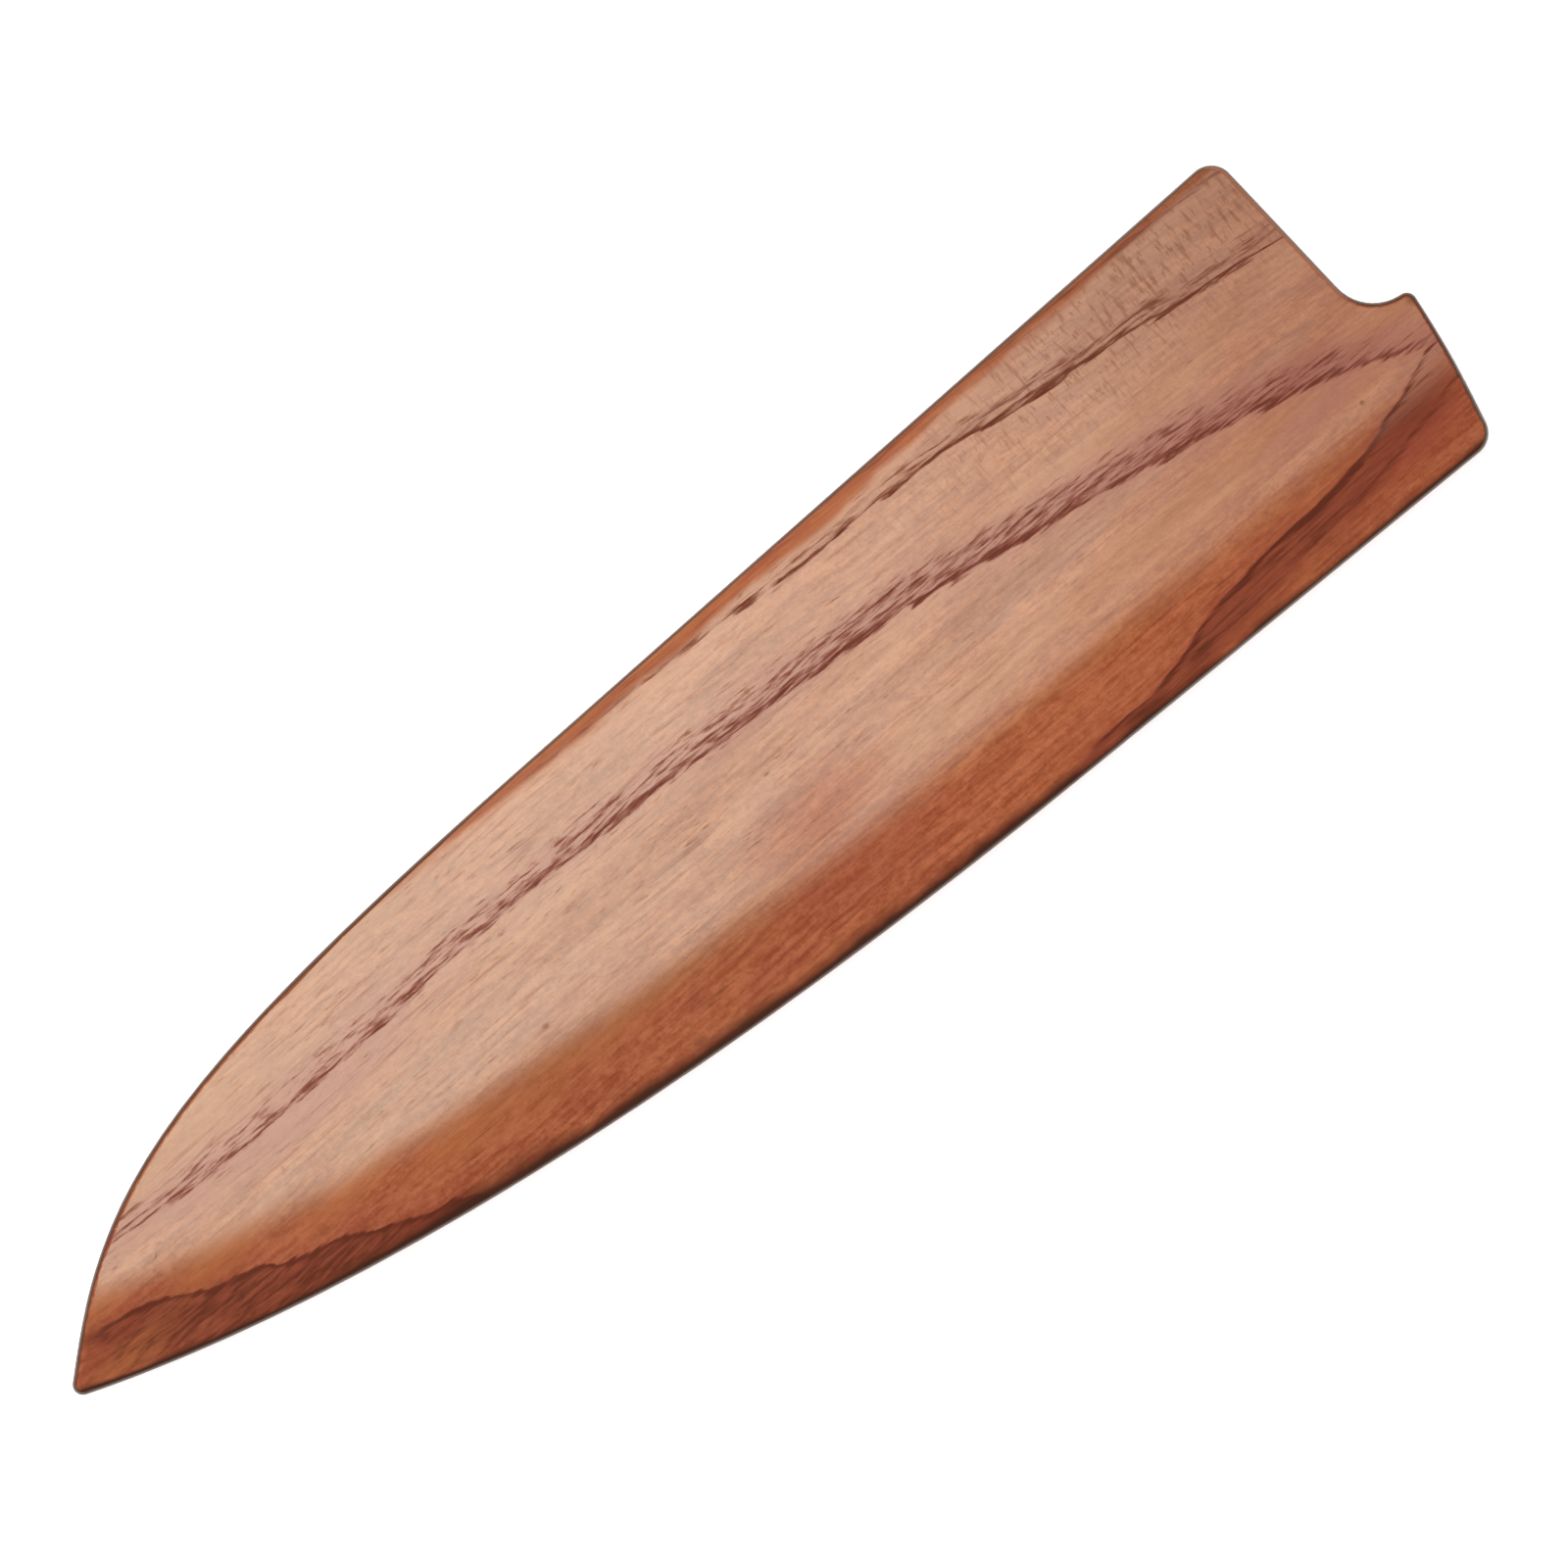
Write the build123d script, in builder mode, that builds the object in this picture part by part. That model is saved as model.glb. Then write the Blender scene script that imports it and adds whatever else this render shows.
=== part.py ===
from build123d import *
import math
import os

os.makedirs("parts", exist_ok=True)

# A wooden guard that slides over the blade of a chef's knife.
# It is glued up from two panels with three strips between them, which leave a slot for the blade.
# It lies on its back panel: +X runs from the tip to the mouth, +Y to the spine side and +Z to the front.

# Layers
panel_thickness = 4.8
slot_height = 4.4

# Outline seen from the front: reaches run from the sharp tip, depths from the spine line
tip_depth = 23.25
nose_reach = 99.3
nose_angle = 40.2
nose_spine_pull_share = 0.681
nose_tip_pull_share = 0.271
belly_reach = 161.3
belly_angle = 23.2
belly_tip_pull_share = 0.363
belly_heel_pull_share = 0.168
mouth_reach = 223.52
heel_overhang = 3.28
heel_depth = 53.2
heel_fall = 2.56
heel_bow = 0.33
mouth_lean = 1.8
notch_depth = 24.1
notch_radius = 6.5
notch_turn = 78.0
notch_land_spare = 0.45

# Roundings: the small corners of the outline stay wider than the rounding of the rim
rim_rounding = 1.0
corner_spare = 0.4
tip_radius = rim_rounding + corner_spare
peak_radius = rim_rounding + corner_spare
mouth_corner_radius = 3.3

# Bevel along the cutting-edge side, alike on both faces
bevel_width = 12.5
bevel_drop = 3.35
crease_radius = 15.0

# Slighter bevel along the straight spine, which runs out over the nose
spine_bevel_width = 1.9
spine_bevel_drop = 0.65
spine_crease_radius = 4.0

# Middle layer
strip_width = 4.5
tip_block_length = 21.0
slot_end_radius = 0.8
slot_nose_shares = (0, 0.2, 0.4, 0.6, 0.78)
slot_belly_shares = (0.15, 0.35, 0.55, 0.8, 1)
mouth_lead_in = 0.9

# Magnets in both panels, in a row below the spine
magnet_count = 3
magnet_diameter = 8.0
magnet_thickness = 2.0
magnet_clearance = 0.1
magnet_edge = 0.2
magnet_first_reach = 72.0
magnet_mouth_margin = 35.5
magnet_depth = 19.0

# How far every cutting shape runs past what it cuts
overrun = 3.0

# A wall is upright when its normal rises by no more than this share
upright_share = 0.01

thickness = panel_thickness + slot_height + panel_thickness
front_seam = panel_thickness + slot_height
pocket_depth = magnet_thickness + magnet_clearance
magnet_row = mouth_reach - magnet_mouth_margin - magnet_first_reach
magnet_pitch = magnet_row / max(magnet_count - 1, 1)
magnet_places = [(magnet_first_reach + magnet_pitch * turn, -magnet_depth) for turn in range(magnet_count)]

# Corners of the outline
tip = Vector(0, -tip_depth)
nose_end = Vector(nose_reach, 0)
belly_end = Vector(belly_reach, heel_fall - heel_depth)
heel = Vector(mouth_reach + heel_overhang, -heel_depth)
mouth_top = Vector(mouth_reach, 0)

# The nose falls from the straight spine to the tip, and the belly runs from the tip along the edge
nose_direction = Vector(1, 0).rotate(Axis.Z, nose_angle)
belly_direction = Vector(1, 0).rotate(Axis.Z, -belly_angle)
heel_direction = (heel - belly_end).normalized()
nose_spine_pull = nose_end - Vector(nose_reach * nose_spine_pull_share, 0)
nose_tip_pull = tip + nose_direction * (nose_reach * nose_tip_pull_share)
belly_tip_pull = tip + belly_direction * (belly_reach * belly_tip_pull_share)
belly_heel_pull = belly_end - heel_direction * (belly_reach * belly_heel_pull_share)
nose = Bezier(nose_end, nose_spine_pull, nose_tip_pull, tip)
belly = Bezier(tip, belly_tip_pull, belly_heel_pull, belly_end)

# The outline: spine, nose, belly, heel lip with its peak, notch and mouth edge
mouth_direction = Vector(0, -1).rotate(Axis.Z, mouth_lean)
mouth_bottom = mouth_top + mouth_direction * (notch_depth / math.cos(math.radians(mouth_lean)))
with BuildSketch() as outline:
    with BuildLine():
        Line(mouth_top, nose_end)
        add(nose)
        add(belly)
        Line(belly_end, heel)
        Line(mouth_top, mouth_bottom)
        notch = JernArc(mouth_bottom, mouth_direction, notch_radius, notch_turn)
        peak = notch @ 1 + (notch % 1) * (peak_radius + notch_land_spare)
        Line(notch @ 1, peak)
        SagittaArc(peak, heel, heel_bow)
    make_face()
    fillet(outline.vertices().sort_by_distance(tip)[0], radius=tip_radius)
    fillet(outline.vertices().sort_by_distance(peak)[0], radius=peak_radius)
    fillet(outline.vertices().sort_by_distance(mouth_top)[0], radius=mouth_corner_radius)
    fillet(outline.vertices().sort_by_distance(heel)[0], radius=mouth_corner_radius)

# The blade slot: the same sides, drawn in by the width of a strip and run on past the mouth
inward_of_nose = [(nose % share).rotate(Axis.Z, 90) * strip_width for share in slot_nose_shares]
inward_of_belly = [(belly % share).rotate(Axis.Z, 90) * strip_width for share in slot_belly_shares]
slot_nose = [nose @ share + inward for share, inward in zip(slot_nose_shares, inward_of_nose)]
slot_belly = [belly @ share + inward for share, inward in zip(slot_belly_shares, inward_of_belly)]
tip_opening = math.radians(nose_angle + belly_angle)
slot_tip = tip + (nose_direction + belly_direction) * (strip_width / math.sin(tip_opening))
slot_run = peak.X + overrun - slot_belly[-1].X
slot_corner = slot_belly[-1] + heel_direction * (slot_run / heel_direction.X)
with BuildSketch() as slot:
    with BuildLine():
        Line((slot_corner.X, slot_nose[0].Y), slot_nose[0])
        Spline(*slot_nose, slot_tip, tangents=(nose % 0, nose % 1))
        Spline(slot_tip, *slot_belly, tangents=(belly % 0, belly % 1))
        Line(slot_belly[-1], slot_corner)
        Line(slot_corner, (slot_corner.X, slot_nose[0].Y))
    make_face()
    fillet(slot.vertices().sort_by_distance(slot_tip)[0], radius=slot_end_radius)

# The part's own origin is the middle of the outline
middle = outline.sketch.bounding_box().center()


def level(height, shift=0):
    """The plane that the outline is drawn on, at a height and moved along the guard."""
    return Plane(origin=(shift - middle.X, -middle.Y, height))


def upright(faces):
    """The faces that stand square to the flat faces."""
    return faces.filter_by(lambda face: abs(face.normal_at().Z) < upright_share)


def bevel_wedge(line, width, drop):
    """A wedge that takes a bevel off along a line of the outline, and its twin for the back face."""
    path = line.moved(level(thickness).location)
    ahead = path % 0
    inward = Vector(0, 0, 1).cross(ahead)
    reach = width * (1 + overrun / drop)
    fall = drop * (1 + overrun / width)
    with BuildPart() as wedge:
        with BuildSketch(Plane(origin=path @ 0, x_dir=inward, z_dir=ahead)):
            with BuildLine():
                Polyline((-overrun, -fall), (reach, overrun), (-overrun, overrun), close=True)
            make_face()
        sweep(path=path)
        mirror(about=Plane.XY.offset(thickness / 2))
    return wedge.part


# The lines of both bevels go round the outline the same way and run on past it
with BuildLine() as cutting_edge:
    Line(tip - belly_direction * overrun, tip)
    add(belly)
    Line(belly_end, belly_end + heel_direction * (peak.X + overrun - belly_end.X))
with BuildLine() as spine_edge:
    Line((peak.X + overrun, 0), (-overrun, 0))

# The whole guard as one shaped blank
with BuildPart() as blank:
    with BuildSketch(level(0)):
        add(outline.sketch)
    extrude(amount=thickness)
    add(bevel_wedge(cutting_edge.line, bevel_width, bevel_drop), mode=Mode.SUBTRACT)
    creases = blank.faces().filter_by(Plane.XY).edges() - upright(blank.faces()).edges()
    fillet(creases, radius=crease_radius)
    add(bevel_wedge(spine_edge.line, spine_bevel_width, spine_bevel_drop), mode=Mode.SUBTRACT)
    spine_creases = blank.faces().filter_by(Plane.XY).edges().filter_by(Axis.X)
    fillet(spine_creases, radius=spine_crease_radius)
    rim = upright(blank.faces()).edges().filter_by(Axis.Z, reverse=True)
    fillet(rim, radius=rim_rounding)

# What lies in front of the mouth, between the strips
with BuildSketch() as mouth_front:
    add(slot.sketch)
    add(outline.sketch, mode=Mode.SUBTRACT)

# The row of magnets, seen from the front
with BuildSketch() as pockets:
    with Locations(*magnet_places):
        Circle(magnet_diameter / 2 + magnet_clearance)

# Front panel, with blind pockets for the magnets and a slanted lead-in at the mouth
with BuildPart() as front_panel:
    add(blank.part)
    split(bisect_by=Plane.XY.offset(front_seam), keep=Keep.TOP)
    with BuildSketch(level(front_seam)):
        add(pockets.sketch)
    extrude(amount=pocket_depth, mode=Mode.SUBTRACT)
    with BuildSketch(level(front_seam, -mouth_lead_in)):
        add(mouth_front.sketch)
    extrude(amount=mouth_lead_in + overrun, dir=(1, 0, 1), mode=Mode.SUBTRACT)
front_panel.part.label = "front_panel"
export_step(front_panel.part, "parts/front_panel.step")

# Back panel, the same the other way up
with BuildPart() as back_panel:
    mirror(front_panel.part, about=Plane.XY.offset(thickness / 2))
back_panel.part.label = "back_panel"
export_step(back_panel.part, "parts/back_panel.step")

# Middle layer, cut through by the slot
with BuildPart() as core:
    add(blank.part)
    split(bisect_by=Plane.XY.offset(panel_thickness), keep=Keep.TOP)
    split(bisect_by=Plane.XY.offset(front_seam), keep=Keep.BOTTOM)
    with BuildSketch(level(panel_thickness)):
        add(slot.sketch)
    extrude(amount=slot_height, mode=Mode.SUBTRACT)

# The middle layer is glued up from a block at the tip and a strip along each side
tip_joint = Plane.YZ.offset(tip_block_length - middle.X)
with BuildPart() as tip_block:
    add(core.part)
    split(bisect_by=tip_joint, keep=Keep.BOTTOM)
tip_block.part.label = "tip_block"
export_step(tip_block.part, "parts/tip_block.step")

with BuildPart() as strips:
    add(core.part)
    split(bisect_by=tip_joint, keep=Keep.TOP)

with BuildPart() as spine_strip:
    add(strips.solids().sort_by(Axis.Y)[-1])
spine_strip.part.label = "spine_strip"
export_step(spine_strip.part, "parts/spine_strip.step")

with BuildPart() as edge_strip:
    add(strips.solids().sort_by(Axis.Y)[0])
edge_strip.part.label = "edge_strip"
export_step(edge_strip.part, "parts/edge_strip.step")

# Disc magnets, each seated on the bottom of its pocket
for number, place in enumerate(magnet_places, start=1):
    with BuildPart() as front_magnet:
        with BuildSketch(level(front_seam + magnet_clearance)):
            with Locations(place):
                Circle(magnet_diameter / 2)
        extrude(amount=magnet_thickness)
        edges = front_magnet.edges().filter_by(GeomType.CIRCLE)
        chamfer(edges, length=magnet_edge)
    front_magnet.part.label = f"front_magnet_{number}"
    export_step(front_magnet.part, f"parts/front_magnet_{number}.step")

    with BuildPart() as back_magnet:
        mirror(front_magnet.part, about=Plane.XY.offset(thickness / 2))
    back_magnet.part.label = f"back_magnet_{number}"
    export_step(back_magnet.part, f"parts/back_magnet_{number}.step")
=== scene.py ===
"""A wooden guard for the blade of a kitchen knife, in satin lacquer, on a pale studio floor."""

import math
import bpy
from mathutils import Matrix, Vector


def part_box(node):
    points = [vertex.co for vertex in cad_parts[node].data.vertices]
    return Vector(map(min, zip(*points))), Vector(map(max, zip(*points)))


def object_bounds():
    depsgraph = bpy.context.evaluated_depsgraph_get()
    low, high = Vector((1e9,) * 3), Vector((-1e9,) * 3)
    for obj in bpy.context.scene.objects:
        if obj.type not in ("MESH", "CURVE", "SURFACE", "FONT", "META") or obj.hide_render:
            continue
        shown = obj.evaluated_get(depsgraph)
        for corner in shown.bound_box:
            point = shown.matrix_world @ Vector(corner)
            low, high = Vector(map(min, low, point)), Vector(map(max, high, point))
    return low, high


bl_info = {
    "name": "Knife Blade Guard",
    "version": (1, 0, 0),
    "blender": (4, 5, 0),
    "location": "View3D > Sidebar > Blade Guard",
    "description": "Finishes the guard's wooden panels, strips and magnets, and sets up a small studio",
    "category": "Object",
}

from collections import namedtuple

import bmesh
import bpy
from bpy.props import FloatProperty, FloatVectorProperty, PointerProperty
from bpy.types import NodeSocket, Operator, Panel, PropertyGroup
from mathutils import Matrix, Vector

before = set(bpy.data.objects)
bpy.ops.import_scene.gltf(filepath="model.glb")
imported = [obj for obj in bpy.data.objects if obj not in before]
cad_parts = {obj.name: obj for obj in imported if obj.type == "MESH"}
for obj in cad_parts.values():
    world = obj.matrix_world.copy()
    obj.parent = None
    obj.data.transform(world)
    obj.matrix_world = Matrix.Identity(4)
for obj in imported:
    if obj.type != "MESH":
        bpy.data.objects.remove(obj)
cad_low, cad_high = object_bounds()

MM = 0.001

# The guard's own measures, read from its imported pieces
guard_length = cad_high.x - cad_low.x
guard_width = cad_high.y - cad_low.y
back_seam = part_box("back_panel")[1].z
front_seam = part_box("front_panel")[0].z
slot_high_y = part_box("spine_strip")[0].y
slot_low_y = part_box("edge_strip")[1].y
slot_middle = Vector((0, (slot_high_y + slot_low_y) / 2, (back_seam + front_seam) / 2))

# A smooth way from low to high while a value goes from start to end
Ramp = namedtuple("Ramp", "start end low high", defaults=(0.0, 1.0))

# Noise in patches of that length along the guard and that width across it. Turn sets it apart from the
# other patterns, detail and roughness shape it, and shown is the ramp that makes a share of it.
Pattern = namedtuple("Pattern", "length width turn detail roughness shown", defaults=(2.0, 0.5, None))

# A soft oval mark: its place as shares of the guard's length and width, its radii and its depth
Mark = namedtuple("Mark", "along across length width depth")

# A dark growth ring that shows on a panel. Its line and its weight are points of a curve along the guard:
# the first number is the share of the length from tip to mouth, and the second is the share of the width
# from belly to spine, or the ring's strength there. Dark pores crowd on one side of the line, in a band
# whose width grows or shrinks from tip to mouth. Band and core say how dense they are there and at the
# line, tint and dusk how mauve and how brown the wood is in the band, depth how dark the pores are, edge
# how wide and soft the line is, ragged how much it follows the fibres in steps and stretch how long its
# pores are.
Ring = namedtuple("Ring", "line weight side spread band core tint dusk depth edge ragged stretch")

SPINE_RING = Ring(
    line=((0.0, 1.0), (0.45, 0.995), (0.6, 0.988), (0.87, 0.98), (0.93, 0.966), (1.0, 0.94)),
    weight=((0.0, 0.0), (0.5, 0.0), (0.62, 0.5), (0.85, 0.8), (0.92, 1.0), (1.0, 1.0)),
    side=1, spread=(0.4 * MM, 0.8 * MM),
    band=0.4, core=0.7, tint=0.0, dusk=0.2, depth=0.6,
    edge=0.5 * MM, ragged=0.3, stretch=2.0,
)
UPPER_RING = Ring(
    line=((0.3, 0.985), (0.45, 0.969), (0.53, 0.95), (0.6, 0.926), (0.68, 0.904), (0.74, 0.888),
          (0.774, 0.856), (0.834, 0.822), (0.88, 0.788), (0.937, 0.746), (1.0, 0.705)),
    weight=((0.0, 0.0), (0.3, 0.0), (0.4, 0.5), (0.52, 0.65), (0.62, 0.85), (0.8, 1.0), (1.0, 0.95)),
    side=1, spread=(0.3 * MM, 4.5 * MM),
    band=0.45, core=0.6, tint=0.15, dusk=0.15, depth=0.9,
    edge=0.38 * MM, ragged=0.7, stretch=1.5,
)
UPPER_TWIN = Ring(
    line=((0.6, 0.955), (0.68, 0.928), (0.74, 0.911), (0.774, 0.882), (0.834, 0.849), (0.88, 0.815),
          (0.937, 0.77), (1.0, 0.728)),
    weight=((0.0, 0.0), (0.7, 0.0), (0.8, 0.8), (0.9, 0.8), (0.97, 0.5), (1.0, 0.4)),
    side=1, spread=(0.5 * MM, 1.2 * MM),
    band=0.7, core=0.3, tint=0.1, dusk=0.1, depth=0.7,
    edge=0.35 * MM, ragged=0.8, stretch=1.5,
)
MAIN_RING = Ring(
    line=((0.0, 0.86), (0.076, 0.79), (0.153, 0.75), (0.263, 0.748), (0.372, 0.754), (0.462, 0.735),
          (0.562, 0.7), (0.635, 0.675), (0.727, 0.604), (0.808, 0.53), (0.895, 0.438), (0.951, 0.352),
          (1.0, 0.26)),
    weight=((0.0, 0.62), (0.1, 0.66), (0.22, 0.68), (0.35, 0.74), (0.5, 0.83), (0.6, 0.93),
            (0.75, 1.0), (0.92, 1.0), (0.96, 0.85), (1.0, 0.6)),
    side=1, spread=(3.6 * MM, 6.5 * MM),
    band=0.64, core=0.44, tint=0.68, dusk=0.0, depth=0.82,
    edge=0.6 * MM, ragged=0.8, stretch=1.2,
)
TIP_RING = Ring(
    line=((0.0, 0.665), (0.034, 0.65), (0.07, 0.612), (0.099, 0.545), (0.13, 0.508), (0.142, 0.466),
          (0.164, 0.442), (0.182, 0.413), (0.198, 0.375), (0.22, 0.336), (0.243, 0.306), (0.258, 0.25),
          (0.29, 0.04), (1.0, 0.0)),
    weight=((0.0, 0.1), (0.025, 0.4), (0.05, 1.0), (0.25, 1.0), (0.29, 0.0), (1.0, 0.0)),
    side=-1, spread=(13.0 * MM, 10.0 * MM),
    band=0.74, core=0.55, tint=0.5, dusk=0.3, depth=0.88,
    edge=0.4 * MM, ragged=0.6, stretch=2.6,
)
HEEL_RING = Ring(
    line=((0.0, 0.0), (0.6, 0.05), (0.67, 0.092), (0.708, 0.105), (0.738, 0.106), (0.76, 0.122),
          (0.789, 0.153), (0.823, 0.165), (0.85, 0.178), (0.877, 0.176), (0.911, 0.189), (0.946, 0.228),
          (1.0, 0.3)),
    weight=((0.0, 0.0), (0.62, 0.0), (0.7, 0.8), (0.8, 1.0), (0.92, 1.0), (0.97, 0.7), (1.0, 0.5)),
    side=-1, spread=(2.5 * MM, 6.0 * MM),
    band=0.66, core=0.62, tint=0.5, dusk=0.3, depth=0.88,
    edge=0.4 * MM, ragged=0.45, stretch=2.6,
)
HEEL_TWIN = Ring(
    line=((0.0, 0.0), (0.738, 0.07), (0.789, 0.108), (0.823, 0.118), (0.877, 0.125), (0.911, 0.132),
          (0.946, 0.155), (1.0, 0.2)),
    weight=((0.0, 0.0), (0.74, 0.0), (0.8, 0.7), (0.88, 0.6), (0.95, 1.0), (1.0, 0.8)),
    side=-1, spread=(0.8 * MM, 1.4 * MM),
    band=0.7, core=0.4, tint=0.1, dusk=0.0, depth=0.75,
    edge=0.36 * MM, ragged=0.5, stretch=2.6,
)
RINGS = (SPINE_RING, UPPER_RING, UPPER_TWIN, MAIN_RING, TIP_RING, HEEL_RING, HEEL_TWIN)

# How a ring's line and its core lie beside the line itself, counted in the ring's edge
LINE_START = Ramp(-1.0, 0.3)
LINE_CORE = Ramp(2.2, 0.2)

# How the band fades, counted in its width, and how far a faint mauve reaches to both sides of the line
BAND_FADE = Ramp(1.0, 0.4)
HALO_BEFORE = Ramp(-4 * MM, 0.0)
HALO_BEHIND = Ramp(9 * MM, 0.0)
HALO_STRENGTH = 0.5
CORE_TINT = 0.4

# How the pores' noise turns into dark dashes: its contrast and level, how much a crowd of pores lifts it,
# and where a dash begins and is full. Sway is how far pores leave their row where the line steps.
PORE_CONTRAST = 1.15
PORE_LEVEL = -0.915
PORE_CROWDING = 0.42
PORE_EDGE = Ramp(-0.22, 0.2)
PORE_SWAY = 0.2

# How far the rings lean over in the depth of the board, and how the fibres follow the main ring: how
# strongly, over which part of the width, and away from which share of the width
RING_LEAN = 0.3
FLOW_STRENGTH = 0.35
FLOW_REACH = Ramp(0.0, 0.8)
FLOW_MIDDLE = 0.75
FIBRE_WANDER = 3 * MM
FIBRE_STEP = 3 * MM

# Small knots and dark marks on the front
FRONT_KNOTS = (
    Mark(0.345, 0.472, 0.7 * MM, 0.6 * MM, 0.25),
    Mark(0.406, 0.203, 1.6 * MM, 1.0 * MM, 0.5),
    Mark(0.936, 0.289, 0.5 * MM, 0.4 * MM, 0.5),
    Mark(0.975, 0.02, 1.4 * MM, 0.9 * MM, 0.8),
    Mark(0.028, 0.652, 2.6 * MM, 1.3 * MM, 0.45),
    Mark(0.957, 0.185, 11 * MM, 3.0 * MM, 0.4),
    Mark(0.998, 0.405, 1.4 * MM, 1.6 * MM, 0.6),
)

# Mauve stains beside the rings on the front
FRONT_STAINS = (
    Mark(0.205, 0.705, 26 * MM, 3.4 * MM, 0.75),
    Mark(0.91, 0.345, 13 * MM, 2.5 * MM, 0.6),
    Mark(0.95, 0.15, 13 * MM, 4.5 * MM, 0.7),
    Mark(0.13, 0.77, 20 * MM, 3.5 * MM, 0.6),
    Mark(0.449, 0.48, 1.7 * MM, 1.3 * MM, 0.6),
    Mark(0.396, 0.415, 0.9 * MM, 0.8 * MM, 0.4),
    Mark(0.545, 0.26, 18 * MM, 5.5 * MM, 0.3),
)

# Amber wood beside the crease near the tip
FRONT_AMBER = (
    Mark(0.121, 0.589, 12 * MM, 3.2 * MM, 0.7),
    Mark(0.195, 0.5, 12 * MM, 3.2 * MM, 0.6),
    Mark(0.262, 0.425, 10 * MM, 2.6 * MM, 0.5),
    Mark(0.04, 0.555, 8 * MM, 2.5 * MM, 0.5),
    Mark(0.05, 0.69, 6 * MM, 2.4 * MM, 0.6),
)

# Where the lacquer on the front was rubbed duller and the wood is redder
FRONT_RUB = Mark(0.545, 0.42, 15 * MM, 7 * MM, 1.0)
FRONT_MARKS = (FRONT_KNOTS, FRONT_STAINS, FRONT_AMBER, FRONT_RUB)

# Where a mark starts, counted in its radii, and how much it follows the steps of the fibres
MARK_FADE = Ramp(1.2, 0.0)
MARK_RAGGED = 0.5

# The belly edge, as shares of the length and width, and how wide its border of painted shade is there
BELLY_EDGE = ((0.0, 0.562), (0.073, 0.443), (0.152, 0.344), (0.232, 0.263), (0.314, 0.199),
              (0.394, 0.149), (0.471, 0.111), (0.542, 0.084), (0.606, 0.066), (0.7, 0.046),
              (1.0, -0.003))
BELLY_BORDER = ((0.0, 0.25), (0.14, 0.3), (0.19, 0.4), (0.235, 0.7), (0.29, 0.75), (0.36, 0.6),
                (0.48, 0.6), (0.62, 0.6), (0.66, 0.5), (0.72, 0.4), (0.78, 0.35), (1.0, 0.35))

# Where the creases of the bevels start, as shares of the length and width. Each rounding says how far it
# reaches before and after the crease, and ends with the slope of its bevel.
BELLY_CREASE = ((0.0, 0.86), (0.025, 0.813), (0.093, 0.702), (0.167, 0.608), (0.245, 0.53),
                (0.324, 0.468), (0.402, 0.419), (0.477, 0.383), (0.547, 0.356), (0.609, 0.338),
                (0.704, 0.319), (1.0, 0.269))
BELLY_ROUNDING = Ramp(-0.5 * MM, 6.6 * MM, high=math.tan(math.radians(15)))
SPINE_CREASE = ((0.0, 0.985), (0.22, 0.972), (0.35, 0.962), (0.47, 0.945), (0.6, 0.938), (0.8, 0.946),
                (0.9, 0.955), (1.0, 0.957))
SPINE_ROUNDING = Ramp(-1.0 * MM, 2.2 * MM, high=math.tan(math.radians(18.9)))
SPINE_WAVER = 3 * MM

# The step along the length over which the belly crease's slope is taken, and how nearly the two normals
# have to agree
CREASE_SAMPLE = 0.02
AGREEMENT = Ramp(0.955, 0.975)

# Patterns whose sizes count in fibre lengths and fibre widths
FIBRES = Pattern(1, 1, 0, detail=3.0)
LONG_FIBRES = Pattern(5, 1.2, 1)
BANDS = Pattern(12, 8, 3, roughness=0.55)
HUES = Pattern(14, 12, 4)
BLUSH = Pattern(1.6, 6, 6, detail=3.0, shown=Ramp(0.45, 0.75, high=0.3))

# Patterns whose sizes both count in fibre widths
MOTTLE = Pattern(2.4, 1.4, 2, roughness=0.6)
SPECKLE = Pattern(0.8, 0.7, 5)

# Patterns whose sizes count in pore lengths and pore widths
PORES = Pattern(1, 1, 0, detail=4.0, roughness=0.62)
PORE_BREAKS = Pattern(5, 2.5, 4, shown=Ramp(0.38, 0.56, 0.84, 1.04))

# Patterns with real sizes
WANDER = Pattern(45 * MM, 12 * MM, 0)
FIBRE_STEPS = Pattern(8 * MM, 0.8 * MM, 5, detail=3.0)
WARM_REDS = Pattern(12 * MM, 0.6 * MM, 15, detail=3.0, shown=Ramp(0.48, 0.66, high=0.7))
LONG_FLECKS = Pattern(0.7 * MM, 4 * MM, 7, detail=3.0, shown=Ramp(0.52, 0.68))
SHORT_FLECKS = Pattern(0.4 * MM, 2 * MM, 9, shown=Ramp(0.56, 0.68))
HAIRLINES = Pattern(10 * MM, 0.4 * MM, 11, shown=Ramp(0.56, 0.74))
WALL_LINES = Pattern(45 * MM, 0.9 * MM, 13, detail=3.0, shown=Ramp(0.42, 0.62, high=0.5))
BORDER_UNEVEN = Pattern(9 * MM, 9 * MM, 8, detail=3.0)
SANDING_WAVES = Pattern(50 * MM, 16 * MM, 12)
CREASE_WAVES = Pattern(14 * MM, 4 * MM, 14, detail=3.0)
STRIP_STREAKS = Pattern(40 * MM, 1.1 * MM, 6, detail=3.0, shown=Ramp(0.48, 0.7, high=0.4))
PLATING_CLOUDS = Pattern(3 * MM, 3 * MM, 2, shown=Ramp(0.3, 0.7))
FLOOR_CLOUDS = Pattern(0.3, 0.3, 5)

# Scratches count in scratch widths, and what is shown of them is their roughness
SCRATCHES = Pattern(12, 1, 1, detail=3.0, roughness=0.6, shown=Ramp(0.3, 0.7, 0.16, 0.3))
SCRATCH_RELIEF = 0.3
SCRATCH_DEPTH = 0.01 * MM

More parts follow.
